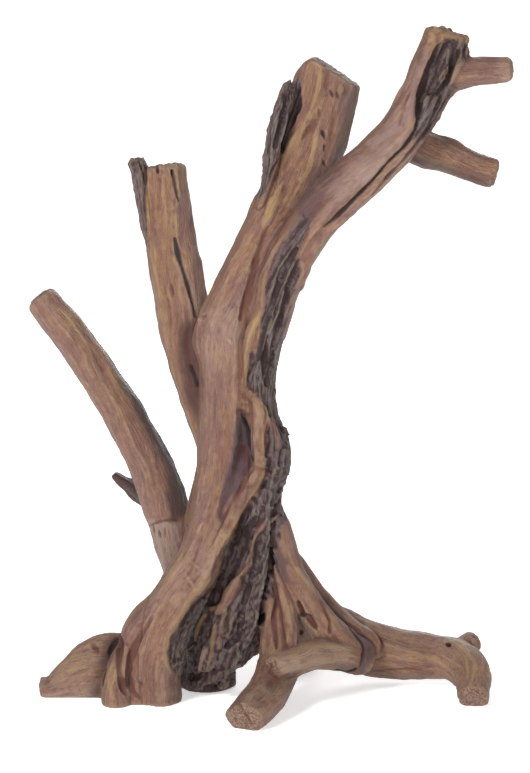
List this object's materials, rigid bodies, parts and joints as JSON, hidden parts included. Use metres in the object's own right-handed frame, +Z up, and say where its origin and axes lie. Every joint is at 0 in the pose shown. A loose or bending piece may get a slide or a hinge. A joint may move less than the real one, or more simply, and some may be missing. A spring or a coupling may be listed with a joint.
{
  "type": "aquarium driftwood",
  "caption": "Upright forked driftwood with a twisted, barky trunk, broken branches and spreading roots, for decorating an aquarium.",
  "frame": {"origin": "on the floor, under the middle of the whole outline seen from above", "axes": "+X towards the right root and the long branch, +Y away from the front, +Z up"},
  "size_m": [0.2429, 0.1337, 0.3366],
  "materials": {
    "smooth_wood": "matte, water-worn, mauve-tan with dry ochre ridges and charcoal bark",
    "ochre_wood": "matte, water-worn, tan with ochre ridges",
    "pale_wood": "matte, water-worn, greyish pink",
    "dark_wood": "matte, dark brown, broken"
  },
  "bodies": {
    "root": {"trunk": "smooth_wood", "long_branch": "smooth_wood", "broad_stump": "ochre_wood", "back_root_left": "pale_wood", "left_branch": "smooth_wood", "rear_branch": "ochre_wood", "left_root": "smooth_wood", "right_root": "smooth_wood", "cross_root": "ochre_wood", "front_root": "smooth_wood", "back_root_right": "smooth_wood", "upper_side_stub": "smooth_wood", "lower_side_stub": "ochre_wood", "broken_twig": "dark_wood"}
  },
  "joints": []
}
